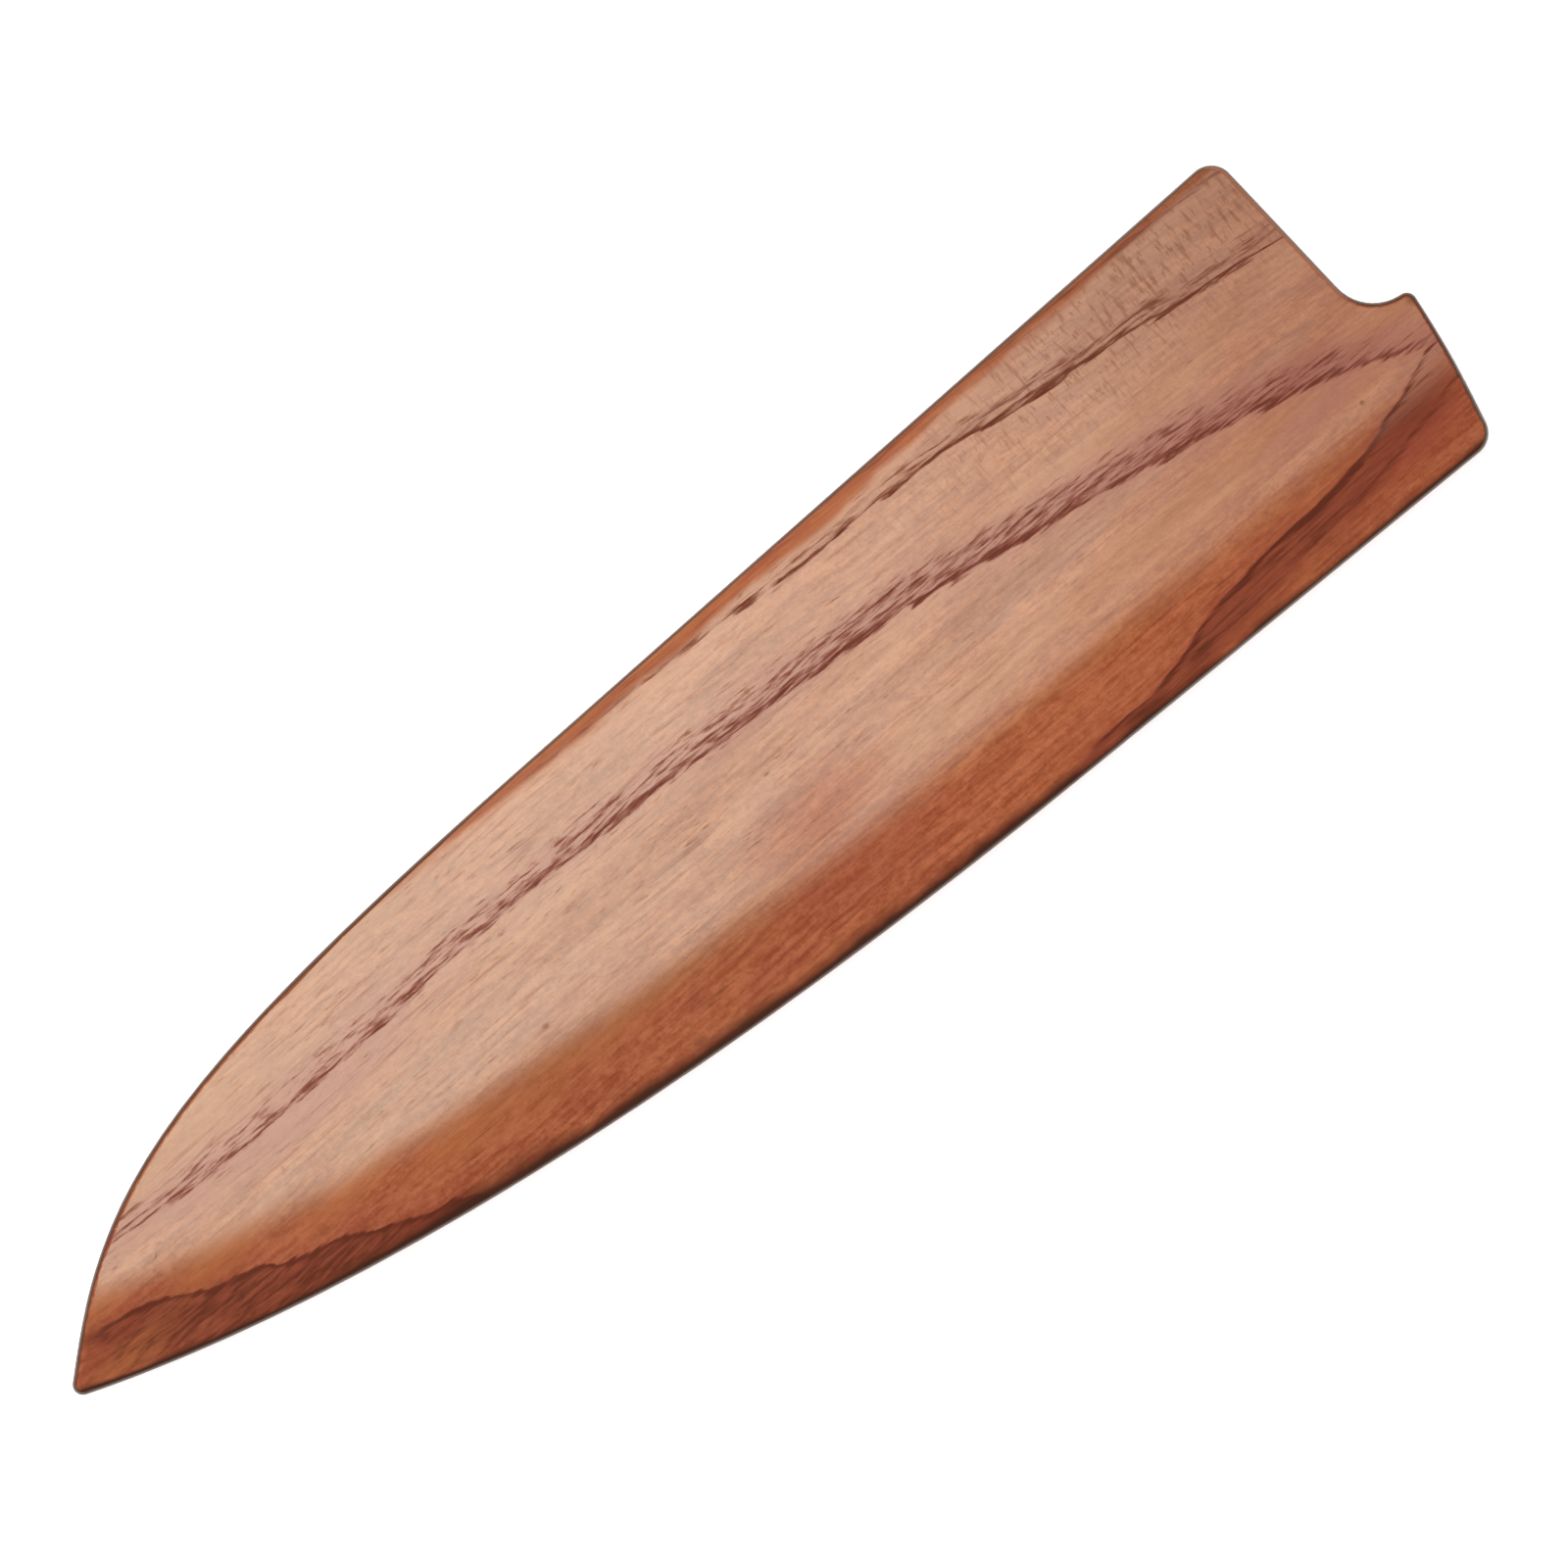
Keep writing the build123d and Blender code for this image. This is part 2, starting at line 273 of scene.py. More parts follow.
# The grain of plain wood is made of these patterns, each counted in that length and weighed
GRAIN_LAYERS = (
    (FIBRES, "fibre_length", 0.32),
    (LONG_FIBRES, "fibre_length", 0.18),
    (MOTTLE, "fibre_width", 0.24),
    (SPECKLE, "fibre_width", 0.16),
    (BANDS, "fibre_length", 0.10),
)
GRAIN_SHOWN = Ramp(0.355, 0.645)
AMBER_HUE = Ramp(0.5, 0.75, high=0.5)
BROWN_HUE = Ramp(0.5, 0.25, high=0.3)
GLUE_LINE = Ramp(0.16 * MM, 0.05 * MM, high=0.8)

# Where a panel's finish changes along and across it, as shares of its length and width
TIP_HALF = Ramp(0.66, 0.42)
# The band along the spine is partly warmer wood and partly painted shade where the eased edge misses the
# sheen
WARM_WIDENING = Ramp(0.7, 0.9, high=0.012)
WARM_BAND = Ramp(-0.045, 0.03, high=0.63)
WARM_WANDER = 0.15
WARM_STEPS = 9.0
CORNER_ALONG = Ramp(0.62, 0.9)
CORNER_ACROSS = Ramp(0.55, 0.85)
MOUTH_BROWN = Ramp(0.7, 1.0, high=0.2)
MOUTH_ACROSS = Ramp(0.47, 0.55)
CORNER_BROWN = 0.2
WARM_CORNER_BROWN = 0.25
FLECK_DEPTH = 0.3
HAIRLINE_DEPTH = 0.12
BURNISHED_HAIRLINE_DEPTH = 0.25

# Where a panel's finish changes with the way its surface faces: 1 is straight out, 0 to the side
BEVEL_FACING = Ramp(0.995, 0.97)
WALL_FACING = Ramp(0.5, 0.1)
# Where the painted shade on the rims starts, and how far it keeps off the walls
RIM_FACING = Ramp(0.945, 0.88, high=0.5)
OFF_THE_WALL = Ramp(0.15, 0.55)
RIM_SHADE_OFF_THE_WALL = Ramp(0.15, 0.55, 0.1, 1.0)
# Where the painted sheen on the mouth's rim lies
SHEEN_ABOVE_WALL = Ramp(0.7, 0.82)
SHEEN_BELOW_FACE = Ramp(0.9995, 0.96)
INSIDE_FACING = Ramp(-0.2, -0.6)
ARRIS_FALL = 0.15
ARRIS_DEPTH = 0.9
MOUTH_ARRIS = 0.17
# How strong the painted sheen on the mouth's rim is
MOUTH_SHEEN_DEPTH = 0.5

# The same for how far the surface faces the mouth
MOUTH_FACING = Ramp(0.05, 0.3)
ARRIS_START = Ramp(0.3, 0.9, 0.935, 0.985)
END_GRAIN = Ramp(0.6, 0.95, high=0.45)

# The belly's border of painted shade, counted in its own width
BORDER_WIDTH = 5 * MM
BORDER_BROWN = Ramp(1.8, 0.6, high=0.7)
BORDER_DARK = Ramp(0.9, 0.4, high=0.85)

# The strips: which sides are darker, and on which side of their surface the slot lies
STRIP_END_GRAIN = Ramp(0.4, 0.9, high=0.45)
STRIP_BELLY_SIDE = Ramp(0.1, -0.5, high=0.25)
SLOT_SIDE = Ramp(0.0, -1 * MM)

# How sawn the walls and strips are, next to the inside of the slot
HALF_SAWN = 0.5

# What the wood's state adds to the lacquer's roughness
PALE_ROUGHNESS = -0.01
PORE_ROUGHNESS = 0.75
BURNISHED_ROUGHNESS = -0.05
RUBBED_ROUGHNESS = 0.1
SAWN_ROUGHNESS = 0.35

# Seeds of the wood, and the share of the length by which the back's rings are moved
FRONT_SEED = 1
BACK_SEED = 4
FIRST_STRIP_SEED = 20
SEEDS_PER_LAYER = 10
SEED_STRIDES = (7.1, 3.7, 5.3)
BACK_SLIP = 0.03

# Noise swings about this
NOISE_MIDDLE = 0.5

# The duller shares of the plating's and of the floor's colour
DULL_PLATING = 0.8
DULL_FLOOR = 0.985

# The gap under the guard, how far up the room's walls reach as a share of straight overhead, and how
# many times nearer and farther than the guard the camera still sees
FLOOR_GAP = 0.05 * MM
WALL_TOP = 0.5
CLIP_REACH = 10

# The places of the Mix node's sockets for colours
MIX_SHARE = 0
MIX_BELOW = 6
MIX_ABOVE = 7
MIX_RESULT = 2

# What the colours, lengths and angles in the settings have in common
COLOUR = {"subtype": "COLOR", "size": 3, "min": 0, "max": 1}
LENGTH = {"subtype": "DISTANCE", "unit": "LENGTH", "min": 0}
ANGLE = {"subtype": "ANGLE", "unit": "ROTATION"}


class GuardWood(PropertyGroup):
    """The lacquered wood of the panels and strips."""

    pale_fibre: FloatVectorProperty(
        name="Pale Fibre", description="Colour of the palest fibres under the lacquer",
        **COLOUR, default=(0.575, 0.175, 0.075))
    dark_fibre: FloatVectorProperty(
        name="Dark Fibre", description="Colour of the darkest fibres of the plain wood",
        **COLOUR, default=(0.325, 0.060, 0.019))
    tip_filter: FloatVectorProperty(
        name="Tip Filter",
        description="Filter that makes the wood of the tip half cooler than that of the mouth half",
        **COLOUR, default=(0.91, 0.93, 0.95))
    face_filter: FloatVectorProperty(
        name="Face Filter",
        description="Filter that makes the flat faces browner than the burnished bevels",
        **COLOUR, default=(0.91, 0.96, 0.82))
    strip_filter: FloatVectorProperty(
        name="Strip Filter", description="Filter that makes the strips a little browner than the panels",
        **COLOUR, default=(0.74, 0.66, 0.52))
    wall_filter: FloatVectorProperty(
        name="Wall Filter", description="Filter that makes the panels' walls darker than their faces",
        **COLOUR, default=(0.84, 0.68, 0.52))
    rub_filter: FloatVectorProperty(
        name="Rub Filter", description="Filter that makes the wood redder where the lacquer was rubbed",
        **COLOUR, default=(1.0, 0.82, 0.86))
    # Also laid along the belly's border as painted shade
    ring: FloatVectorProperty(
        name="Ring", description="Colour of the dark growth rings and of their pores",
        **COLOUR, default=(0.105, 0.017, 0.006))
    # Also used for the painted shade on the rims
    shade: FloatVectorProperty(
        name="Shade", description="Browner colour of the wood near the mouth",
        **COLOUR, default=(0.200, 0.050, 0.018))
    bloom: FloatVectorProperty(
        name="Bloom", description="Mauve tint that lies beside the dark rings",
        **COLOUR, default=(0.310, 0.056, 0.030))
    # Also the colour of the painted shade along the spine edge
    spine_tint: FloatVectorProperty(
        name="Spine Tint", description="Warmer colour of the wood along the spine edge",
        **COLOUR, default=(0.480, 0.150, 0.047))
    bare_shade: FloatVectorProperty(
        name="Bare Wood Shade", description="Colour of the darker fibres inside the slot",
        **COLOUR, default=(0.300, 0.125, 0.064))
    bare: FloatVectorProperty(
        name="Bare Wood", description="Colour of the unlacquered wood inside the slot",
        **COLOUR, default=(0.420, 0.190, 0.100))
    # Paler colour painted on the mouth's rim as sheen
    mouth_sheen: FloatVectorProperty(
        name="Painted Mouth Sheen", description="Paler colour of the rim where blades go in",
        **COLOUR, default=(0.450, 0.200, 0.115))
    # Also used for the painted shade that outlines the rims and the belly
    glue: FloatVectorProperty(
        name="Glue Line", description="Colour of the thin glue lines between the layers",
        **COLOUR, default=(0.040, 0.010, 0.005))
    lacquer_roughness: FloatProperty(
        name="Lacquer Roughness", description="How broad the satin lacquer's sheen is",
        min=0, max=1, default=0.34)
    lacquer_tint: FloatVectorProperty(
        name="Lacquer Tint", description="Warm tint of the lacquer's sheen",
        **COLOUR, default=(0.84, 0.85, 0.69))
    crown_along: FloatProperty(
        name="Crown Along",
        description="Slope that sanding has left on the flat faces near the tip and the mouth",
        **ANGLE, default=math.radians(3.3))
    crown_across: FloatProperty(
        name="Crown Across",
        description="Slope that sanding has left on the flat faces near the spine and the belly",
        **ANGLE, default=math.radians(4.5))
    waviness: FloatProperty(
        name="Waviness", description="How high the long soft waves are that hand sanding has left",
        **LENGTH, default=0.7 * MM)
    fibre_length: FloatProperty(
        name="Fibre Length", description="How far a fine line of the grain runs",
        **LENGTH, default=4.5 * MM)
    fibre_width: FloatProperty(
        name="Fibre Width", description="Spacing of the fine lines of the grain",
        **LENGTH, default=0.58 * MM)
    fibre_relief: FloatProperty(
        name="Fibre Relief", description="How deep the fine lines of the grain can be felt",
        **LENGTH, default=0.003 * MM)
    pore_length: FloatProperty(
        name="Pore Length", description="Length of the dark dashes beside a growth ring",
        **LENGTH, default=3.2 * MM)
    pore_width: FloatProperty(
        name="Pore Width", description="Width of the dark dashes beside a growth ring",
        **LENGTH, default=0.44 * MM)


class GuardPlating(PropertyGroup):
    """The nickel plating of the magnets."""

    colour: FloatVectorProperty(
        name="Colour", description="Colour of the plating",
        **COLOUR, default=(0.72, 0.71, 0.68))
    scratch_width: FloatProperty(
        name="Scratch Width", description="Spacing of the fine scratches on the plating",
        **LENGTH, default=0.15 * MM)


class GuardStudio(PropertyGroup):
    """The floor, the lights and the camera."""

    floor_colour: FloatVectorProperty(
        name="Floor", description="Colour of the pale floor",
        **COLOUR, default=(0.93, 0.93, 0.93))
    floor_size: FloatProperty(
        name="Floor Size", description="Side of the square floor",
        **LENGTH, default=6.0)
    floor_glow: FloatProperty(
        name="Floor Glow", description="Light that the floor gives off by itself",
        min=0, default=0.65)
    key_radiance: FloatProperty(
        name="Key Brightness", description="Brightness of the soft light's surface",
        min=0, default=8.5)
    key_spread_along: FloatProperty(
        name="Key Spread Along",
        description="Half of the angle that the soft light fills along the guard",
        **ANGLE, min=0, default=math.radians(15))
    key_spread_across: FloatProperty(
        name="Key Spread Across",
        description="Half of the angle that the soft light fills across the guard",
        **ANGLE, min=0, default=math.radians(20))
    key_lean_to_spine: FloatProperty(
        name="Key Lean to Spine",
        description="How far the soft light leans from overhead to the spine side",
        **ANGLE, default=math.radians(13))
    key_lean_to_tip: FloatProperty(
        name="Key Lean to Tip", description="How far the soft light leans from overhead to the tip",
        **ANGLE, default=math.radians(5))
    key_distance: FloatProperty(
        name="Key Distance", description="Distance from the guard to the soft light",
        **LENGTH, default=1.7)
    wall_light: FloatProperty(
        name="Wall Light", description="Brightness of the room at the horizon",
        min=0, default=0.5)
    ceiling_light: FloatProperty(
        name="Ceiling Light", description="Brightness of the room overhead",
        min=0, default=0.12)
    view_turn: FloatProperty(
        name="View Turn", description="How far the guard is turned in the picture, seen from above",
        **ANGLE, default=math.radians(41.5))
    view_width: FloatProperty(
        name="View Width", description="Width that the picture covers at the guard",
        **LENGTH, default=208.6 * MM)
    view_centre: FloatVectorProperty(
        name="View Centre", description="Point of the guard in the middle of the picture",
        subtype="TRANSLATION", unit="LENGTH", size=3, default=(9.31 * MM, 1.75 * MM, 11.0 * MM))
    lens: FloatProperty(
        name="Lens", description="Focal length of the camera, in millimetres",
        subtype="DISTANCE_CAMERA", min=1, default=200)


def scaled(ramp, unit):
    """A ramp whose start and end count in that unit."""
    return ramp._replace(start=ramp.start * unit, end=ramp.end * unit)


def opaque(colour):
    """A property's colour with the alpha that colour sockets expect."""
    return (*colour, 1.0)


def dimmed(colour, share):
    """That share of a colour's light."""
    return tuple(part * share for part in colour)


class Finish:
    """One material under construction, with short calls for the nodes that a finish is built from."""

    def __init__(self, name, seed=0):
        self.seed = seed
        self.material = bpy.data.materials.new(name)
        self.material.use_nodes = True
        self.tree = self.material.node_tree
        self.tree.nodes.clear()
        place = self.add("TexCoord")
        self.at = place.outputs["Object"]
        self.normal = place.outputs["Normal"]

    def add(self, kind, inputs=(), **settings):
        """A new node with its settings, and a value or a link for each named or numbered input."""
        node = self.tree.nodes.new(f"ShaderNode{kind}")
        for setting, value in settings.items():
            setattr(node, setting, value)
        for key, value in dict(inputs).items():
            if isinstance(value, NodeSocket):
                self.tree.links.new(value, node.inputs[key])
            else:
                node.inputs[key].default_value = value
        return node

    def math(self, operation, *values):
        return self.add("Math", enumerate(values), operation=operation).outputs[0]

    def vector(self, operation, *values):
        node = self.add("VectorMath", enumerate(values), operation=operation)
        return node.outputs["Value" if operation == "DOT_PRODUCT" else "Vector"]

    def minus(self, first, second):
        return self.math("SUBTRACT", first, second)

    def times(self, first, second, plus=None):
        """The product, on top of a third value if there is one."""
        if plus is None:
            return self.math("MULTIPLY", first, second)
        return self.math("MULTIPLY_ADD", first, second, plus)

    def most(self, first, *others):
        """The greatest of the values."""
        for other in others:
            first = self.math("MAXIMUM", first, other)
        return first

    def ramp(self, value, ramp):
        """Goes smoothly from the ramp's low to its high while value goes from its start to its end."""
        ends = {"From Min": ramp.start, "From Max": ramp.end, "To Min": ramp.low, "To Max": ramp.high}
        node = self.add("MapRange", {"Value": value, **ends}, interpolation_type="SMOOTHSTEP")
        return node.outputs["Result"]

    def curve(self, value, points):
        """A smooth line through points whose two numbers both run from 0 to 1."""
        node = self.add("FloatCurve", {"Value": value})
        line = node.mapping.curves[0]
        for place, point in enumerate(points):
            if place < len(line.points):
                line.points[place].location = point
            else:
                line.points.new(*point)
        node.mapping.update()
        return node.outputs[0]

    def grain(self, place, pattern, length=1.0, width=1.0, layer=0):
        """Noise after a pattern whose sizes count in that length and width. Each layer is another draw."""
        across = 1 / (pattern.width * width)
        scale = (1 / (pattern.length * length), across, across)
        turn = self.seed + pattern.turn + layer * SEEDS_PER_LAYER
        shift = tuple(turn * stride for stride in SEED_STRIDES)
        inputs = {
            "Vector": self.vector("MULTIPLY_ADD", place, scale, shift),
            "Scale": 1.0, "Detail": pattern.detail, "Roughness": pattern.roughness,
        }
        return self.add("TexNoise", inputs).outputs[0]

    def swing(self, place, pattern):
        """Noise that swings about zero."""
        return self.minus(self.grain(place, pattern), NOISE_MIDDLE)

    def shown(self, place, pattern, *sizes):
        """The share that a pattern's ramp makes of its noise."""
        return self.ramp(self.grain(place, pattern, *sizes), pattern.shown)

    def blend(self, share, first, second, how="MIX"):
        """The second colour over the first, by share."""
        inputs = {MIX_SHARE: share, MIX_BELOW: first, MIX_ABOVE: second}
        return self.add("Mix", inputs, data_type="RGBA", blend_type=how).outputs[MIX_RESULT]

    def surface(self, constants=(), **links):
        """The shader and the output. Links are given by socket name with _ for a space."""
        inputs = dict(constants)
        inputs.update({name.replace("_", " "): socket for name, socket in links.items()})
        shader = self.add("BsdfPrincipled", inputs)
        self.add("OutputMaterial", {"Surface": shader.outputs[0]})
        return self.material


class WoodFinish(Finish):
    """Wood under construction: its colour so far, and how pale and how dark it is."""

    def __init__(self, name, wood, seed):
        super().__init__(name, seed)
        self.wood = wood
        self.x, self.y, self.z = self.add("SeparateXYZ", {0: self.at}).outputs
        self.colour = opaque(wood.dark_fibre)
        self.pale = self.dark = self.burnished = self.rubbed = 0.0

    def cover(self, share, colour):
        """Lays a colour over the wood, by share."""
        self.colour = self.blend(share, self.colour, opaque(colour))

    def filter(self, share, tint):
        """Shows the wood through a tinted filter, by share."""
        self.colour = self.blend(share, self.colour, opaque(tint), "MULTIPLY")

    def wall_place(self):
        """The place on an upright wall, where lines run along the guard."""
        return self.add("CombineXYZ", {0: self.x, 2: self.z}).outputs[0]

    def plain(self, place):
        """The wood between its dark rings."""
        wood = self.wood
        fibre = (wood.fibre_length, wood.fibre_width)
        grain = None
        for pattern, length, weight in GRAIN_LAYERS:
            noise = self.grain(place, pattern, getattr(wood, length), wood.fibre_width)
            grain = self.times(noise, weight, grain)
        self.pale = self.ramp(grain, GRAIN_SHOWN)
        self.cover(self.pale, wood.pale_fibre)
        hue = self.grain(place, HUES, *fibre)
        self.cover(self.ramp(hue, AMBER_HUE), wood.spine_tint)
        self.cover(self.ramp(hue, BROWN_HUE), wood.shade)
        self.cover(self.shown(place, BLUSH, *fibre), wood.bloom)

    def glue_lines(self, *seams):
        """A thin dark line of glue at each seam."""
        for seam in seams:
            gap = self.math("ABSOLUTE", self.minus(self.z, seam))
            self.cover(self.ramp(gap, GLUE_LINE), self.wood.glue)

    def bare_inside(self, inside):
        """Bare wood towards the slot."""
        bare = self.blend(self.pale, opaque(self.wood.bare_shade), opaque(self.wood.bare))
        self.colour = self.blend(inside, self.colour, bare)

    def sanded_crown(self):
        """Height that falls off slightly towards the edges all round."""
        fall_along = -math.tan(self.wood.crown_along) / guard_length
        fall_across = -math.tan(self.wood.crown_across) / guard_width
        across = self.times(self.times(self.y, self.y), fall_across)
        return self.times(self.times(self.x, self.x), fall_along, across)

    def lacquered(self, sawn, crown):
        """The satin lacquer: duller over dark pores, smoother where burnished, missing where sawn."""
        wood = self.wood
        roughness = self.times(self.pale, PALE_ROUGHNESS, wood.lacquer_roughness - PALE_ROUGHNESS / 2)
        open_pores = self.times(self.dark, self.minus(1.0, self.burnished))
        roughness = self.times(open_pores, PORE_ROUGHNESS, roughness)
        roughness = self.times(self.burnished, BURNISHED_ROUGHNESS, roughness)
        roughness = self.times(self.rubbed, RUBBED_ROUGHNESS, roughness)
        roughness = self.times(sawn, SAWN_ROUGHNESS, roughness)
        relief = self.times(self.dark, -wood.fibre_relief, self.times(self.pale, wood.fibre_relief))
        height = self.math("ADD", relief, crown)
        spaces = {"vector_type": "NORMAL", "convert_from": "OBJECT", "convert_to": "WORLD"}
        turned = self.add("VectorTransform", {0: self.normal}, **spaces).outputs[0]
        inputs = {"Height": height, "Strength": 1.0, "Distance": 1.0, "Normal": turned}
        bump = self.add("Bump", inputs).outputs[0]
        constants = {"IOR": 1.5, "Specular IOR Level": 0.8, "Specular Tint": opaque(wood.lacquer_tint)}
        return self.surface(constants, Base_Color=self.colour, Roughness=roughness, Normal=bump)


class PanelWood(WoodFinish):
    """Wood of a panel between its outer face and its seam. Slip moves its rings along the guard."""

    def __init__(self, name, wood, outer_face, seam, seed, slip):
        super().__init__(name, wood, seed)
        outward = 1.0 if outer_face > seam else -1.0
        self.edge_along = self.share_along(self.x)
        self.edge_across = self.share_across(self.y)
        self.normal = self.swept_normal(outward)
        self.normal_x, _, normal_z = self.add("SeparateXYZ", {0: self.normal}).outputs
        self.facing = self.times(normal_z, outward)
        self.burnished = self.ramp(self.facing, BEVEL_FACING)
        self.wall = self.ramp(self.facing, WALL_FACING)

        # The rings lean over in the depth of the board and wander a little along it
        depth = self.math("ABSOLUTE", self.minus(self.z, outer_face))
        self.y_ring = self.times(depth, RING_LEAN, self.y)
        self.along = self.math("ADD", self.edge_along, slip)
        self.across = self.share_across(self.y_ring)
        self.wander = self.swing(self.at, WANDER)

        # The fibres of the upper part follow the main ring part of the way
        flow = self.minus(self.curve(self.along, MAIN_RING.line), FLOW_MIDDLE)
        flow = self.times(flow, self.ramp(self.across, FLOW_REACH))
        y_fibre = self.times(flow, -FLOW_STRENGTH * guard_width, self.y_ring)
        y_fibre = self.times(self.wander, FIBRE_WANDER, y_fibre)
        self.fibre_place = self.add("CombineXYZ", {0: self.x, 1: y_fibre, 2: self.z}).outputs[0]
        self.step = self.times(self.swing(self.fibre_place, FIBRE_STEPS), FIBRE_STEP)

    def share_along(self, x):
        """Share of the guard's length from tip to mouth."""
        return self.times(x, 1 / guard_length, -cad_low.x / guard_length)

    def share_across(self, y):
        """Share of the guard's width from belly to spine."""
        return self.times(y, 1 / guard_width, -cad_low.y / guard_width)

    def swept_normal(self, outward):
        """The way the flat face and both bevels really face, with no facets in the creases between them.

        It replaces the faceted normal only where the two nearly agree: rims and walls keep theirs."""
        ahead = self.curve(self.math("ADD", self.edge_along, CREASE_SAMPLE), BELLY_CREASE)
        behind = self.curve(self.minus(self.edge_along, CREASE_SAMPLE), BELLY_CREASE)
        slope = self.minus(ahead, behind)
        slope = self.times(slope, guard_width / (2 * CREASE_SAMPLE * guard_length))

        # Measured square to the slanting crease, a distance is this much shorter than straight across
        shortening = self.math("INVERSE_SQRT", self.times(slope, slope, 1.0))
        beyond = self.minus(self.curve(self.edge_along, BELLY_CREASE), self.edge_across)
        beyond = self.times(self.times(beyond, shortening), guard_width)
        belly = self.times(self.ramp(beyond, BELLY_ROUNDING), shortening)
        beyond = self.minus(self.edge_across, self.curve(self.edge_along, SPINE_CREASE))
        waver = self.times(self.swing(self.at, CREASE_WAVES), SPINE_WAVER)
        spine = self.ramp(self.times(beyond, guard_width, waver), SPINE_ROUNDING)
        parts = {0: self.times(belly, slope), 1: self.minus(spine, belly), 2: outward}
        way = self.vector("NORMALIZE", self.add("CombineXYZ", parts).outputs[0])
        agreement = self.ramp(self.vector("DOT_PRODUCT", way, self.normal), AGREEMENT)
        change = self.vector("SUBTRACT", way, self.normal)
        return self.vector("NORMALIZE", self.vector("MULTIPLY_ADD", change, agreement, self.normal))

    def plain_panel(self):
        """Plain wood, cooler towards the tip and browner on the flat face than on the bevels."""
        self.plain(self.fibre_place)
        self.filter(self.ramp(self.along, TIP_HALF), self.wood.tip_filter)
        self.filter(self.minus(1.0, self.burnished), self.wood.face_filter)

    def warm_and_shaded_spine(self):
        """Warmer wood along the spine, partly painted shade standing in for the sheen that the eased spine
        edge misses, in an uneven band that widens to the mouth. Gives its share.
        """
        start = self.curve(self.along, SPINE_CREASE)
        start = self.minus(start, self.ramp(self.along, WARM_WIDENING))
        start = self.times(self.wander, WARM_WANDER, start)
        start = self.times(self.step, WARM_STEPS, start)
        spine_warmth_and_shade = self.ramp(self.minus(self.across, start), WARM_BAND)
        self.cover(spine_warmth_and_shade, self.wood.spine_tint)
        self.cover(self.times(self.shown(self.fibre_place, WARM_REDS), spine_warmth_and_shade), self.wood.bloom)
        return spine_warmth_and_shade

    def brown_corner(self, spine_warmth_and_shade):
        """Browner wood towards the mouth's spine corner, with dark cross-grain flecks."""
        corner = self.times(self.ramp(self.along, CORNER_ALONG), self.ramp(self.across, CORNER_ACROSS))
        brown = self.times(corner, CORNER_BROWN, self.ramp(self.along, MOUTH_BROWN))
        brown = self.times(self.times(spine_warmth_and_shade, corner), WARM_CORNER_BROWN, brown)
        self.cover(brown, self.wood.shade)
        flecks = self.most(self.shown(self.at, LONG_FLECKS), self.shown(self.at, SHORT_FLECKS))
        self.dark = self.times(flecks, self.times(corner, FLECK_DEPTH))

    def growth_ring(self, ring, number):
        """One dark ring: the tints of its band, and its pores."""
        wood = self.wood
        weight = self.curve(self.along, ring.weight)
        gap = self.minus(self.across, self.curve(self.along, ring.line))
        gap = self.times(gap, guard_width, self.times(self.step, ring.ragged))
        gap = self.times(gap, ring.side)
        spread = self.ramp(self.along, Ramp(0.0, 1.0, *ring.spread))
        near = self.ramp(gap, scaled(LINE_START, ring.edge))
        band = self.times(near, self.ramp(self.math("DIVIDE", gap, spread), BAND_FADE))
        core = self.times(near, self.ramp(gap, scaled(LINE_CORE, ring.edge)))

        halo = self.times(self.ramp(gap, HALO_BEFORE), self.ramp(gap, HALO_BEHIND))
        halo = self.times(halo, ring.tint * HALO_STRENGTH)
        mauve = self.times(core, CORE_TINT, self.times(band, ring.tint, halo))
        self.cover(self.times(mauve, weight), wood.bloom)
        self.cover(self.times(self.times(band, ring.dusk), weight), wood.shade)

        # The denser the pores, the more of the noise counts as dark
        crowd = self.times(core, ring.core, self.times(band, ring.band))
        breaks = self.shown(self.fibre_place, PORE_BREAKS, wood.pore_length, wood.pore_width, number)
        crowd = self.times(self.times(crowd, breaks), weight)
        sway = self.add("CombineXYZ", {1: self.times(self.step, PORE_SWAY * ring.stretch)}).outputs[0]
        place = self.vector("ADD", self.fibre_place, sway)
        pores = self.grain(place, PORES, wood.pore_length * ring.stretch, wood.pore_width, number)
        depth = self.times(crowd, PORE_CROWDING, self.times(pores, PORE_CONTRAST, PORE_LEVEL))
        self.dark = self.most(self.dark, self.ramp(depth, PORE_EDGE._replace(high=ring.depth)))

    def hairlines(self):
        """Thin long lines of pores in the plain wood."""
        lines = self.shown(self.fibre_place, HAIRLINES)
        depth = self.times(self.burnished, BURNISHED_HAIRLINE_DEPTH, HAIRLINE_DEPTH)
        self.dark = self.most(self.dark, self.times(lines, depth))

    def spot(self, y, mark):
        """The share of a soft oval mark."""
        run = self.minus(self.x, cad_low.x + mark.along * guard_length)
        rise = self.minus(y, cad_low.y + mark.across * guard_width)
        run = self.math("DIVIDE", run, mark.length)
        rise = self.math("DIVIDE", rise, mark.width)
        reach = self.math("SQRT", self.times(run, run, self.times(rise, rise)))
        return self.ramp(reach, MARK_FADE._replace(high=mark.depth))

    def front_marks(self, knots, stains, amber, rub):
        """The marks that only the front has."""
        y_mark = self.times(self.step, MARK_RAGGED, self.y_ring)
        for stain in stains:
            self.cover(self.spot(y_mark, stain), self.wood.bloom)
        for patch in amber:
            self.cover(self.spot(y_mark, patch), self.wood.spine_tint)
        for knot in knots:
            self.dark = self.most(self.dark, self.spot(y_mark, knot))
        self.rubbed = self.spot(self.y, rub)
        self.filter(self.rubbed, self.wood.rub_filter)

